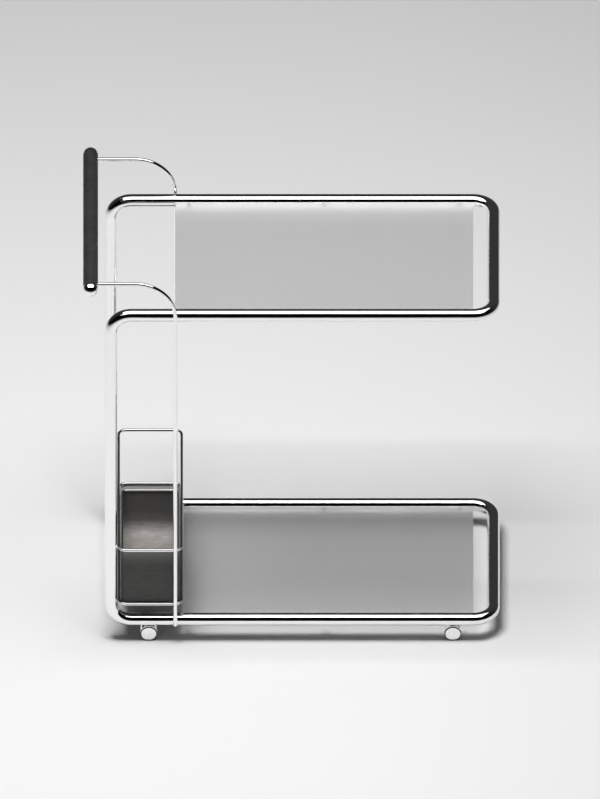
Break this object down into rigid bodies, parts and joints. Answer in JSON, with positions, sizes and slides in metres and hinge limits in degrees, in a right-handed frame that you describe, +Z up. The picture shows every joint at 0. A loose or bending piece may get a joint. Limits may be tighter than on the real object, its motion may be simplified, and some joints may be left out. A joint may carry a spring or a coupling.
{
  "type": "bar cart",
  "caption": "Bar cart of bent chrome tube with frosted glass shelves, a leather-wrapped push handle, a bottle rack with a lift-out leather container, and swivel castors.",
  "frame": {"origin": "on the floor under the centre of the cart's plan", "axes": "+X along the cart away from the push handle, +Y across it from the container's side to the open side, +Z up"},
  "size_m": [0.8177, 0.468, 0.8958],
  "materials": {
    "chrome": "polished chrome plate",
    "frosted_glass": "satin, acid-etched, grey tint",
    "black_leather": "fine-grained black leather",
    "steel": "plain turned steel",
    "clear_pad": "clear soft bumper",
    "wheel_plastic": "moulded, matt black",
    "tyre_rubber": "smooth soft tread"
  },
  "bodies": {
    "frame": {"front_side_tube": "chrome", "rear_side_tube": "chrome", "upper_end_bow": "chrome", "lower_end_bow": "chrome", "handle_rod_front": "chrome", "handle_rod_rear": "chrome", "handle_cap_front": "chrome", "handle_cap_rear": "chrome", "rack_upper_ring": "chrome", "rack_lower_ring": "chrome", "upper_shelf_pins": "chrome", "lower_shelf_pins": "chrome", "upper_glass_shelf": "frosted_glass", "lower_glass_shelf": "frosted_glass", "handle_grip": "black_leather", "rack_base_panel": "black_leather", "frame_joint_sleeves": "steel", "rod_studs": "steel", "handle_core": "steel", "rack_base_bars": "steel", "castor_sockets": "steel", "upper_shelf_pads": "clear_pad", "lower_shelf_pads": "clear_pad"},
    "container": {"container_shell": "black_leather", "container_liner": "black_leather", "container_trim": "chrome"},
    "castor_front_left_swivel": {"castor_front_left_housing": "chrome", "castor_front_left_stem": "steel"},
    "castor_front_left_wheel": {"castor_front_left_axle": "steel", "castor_front_left_wheels": "wheel_plastic", "castor_front_left_tyres": "tyre_rubber", "castor_front_left_caps": "chrome"},
    "castor_front_right_swivel": {"castor_front_right_housing": "chrome", "castor_front_right_stem": "steel"},
    "castor_front_right_wheel": {"castor_front_right_axle": "steel", "castor_front_right_wheels": "wheel_plastic", "castor_front_right_tyres": "tyre_rubber", "castor_front_right_caps": "chrome"},
    "castor_rear_left_swivel": {"castor_rear_left_housing": "chrome", "castor_rear_left_stem": "steel"},
    "castor_rear_left_wheel": {"castor_rear_left_axle": "steel", "castor_rear_left_wheels": "wheel_plastic", "castor_rear_left_tyres": "tyre_rubber", "castor_rear_left_caps": "chrome"},
    "castor_rear_right_swivel": {"castor_rear_right_housing": "chrome", "castor_rear_right_stem": "steel"},
    "castor_rear_right_wheel": {"castor_rear_right_axle": "steel", "castor_rear_right_wheels": "wheel_plastic", "castor_rear_right_tyres": "tyre_rubber", "castor_rear_right_caps": "chrome"}
  },
  "joints": [
    {"name": "container_lift", "type": "slide", "parent": "frame", "child": "container", "axis": [0, 0, 1], "range_m": [0, 0.16]},
    {"name": "castor_front_left_turn", "type": "hinge", "parent": "frame", "child": "castor_front_left_swivel", "pos_m": [-0.2766, -0.1875, 0.045], "axis": [0, 0, 1], "continuous": true},
    {"name": "castor_front_left_roll", "type": "hinge", "parent": "castor_front_left_swivel", "child": "castor_front_left_wheel", "pos_m": [-0.2796, -0.1875, 0.0166], "axis": [0, 1, 0], "continuous": true},
    {"name": "castor_front_right_turn", "type": "hinge", "parent": "frame", "child": "castor_front_right_swivel", "pos_m": [0.3199, -0.1875, 0.045], "axis": [0, 0, 1], "continuous": true},
    {"name": "castor_front_right_roll", "type": "hinge", "parent": "castor_front_right_swivel", "child": "castor_front_right_wheel", "pos_m": [0.3169, -0.1875, 0.0166], "axis": [0, 1, 0], "continuous": true},
    {"name": "castor_rear_left_turn", "type": "hinge", "parent": "frame", "child": "castor_rear_left_swivel", "pos_m": [-0.2766, 0.1875, 0.045], "axis": [0, 0, 1], "continuous": true},
    {"name": "castor_rear_left_roll", "type": "hinge", "parent": "castor_rear_left_swivel", "child": "castor_rear_left_wheel", "pos_m": [-0.2796, 0.1875, 0.0166], "axis": [0, 1, 0], "continuous": true},
    {"name": "castor_rear_right_turn", "type": "hinge", "parent": "frame", "child": "castor_rear_right_swivel", "pos_m": [0.3199, 0.1875, 0.045], "axis": [0, 0, 1], "continuous": true},
    {"name": "castor_rear_right_roll", "type": "hinge", "parent": "castor_rear_right_swivel", "child": "castor_rear_right_wheel", "pos_m": [0.3169, 0.1875, 0.0166], "axis": [0, 1, 0], "continuous": true}
  ]
}
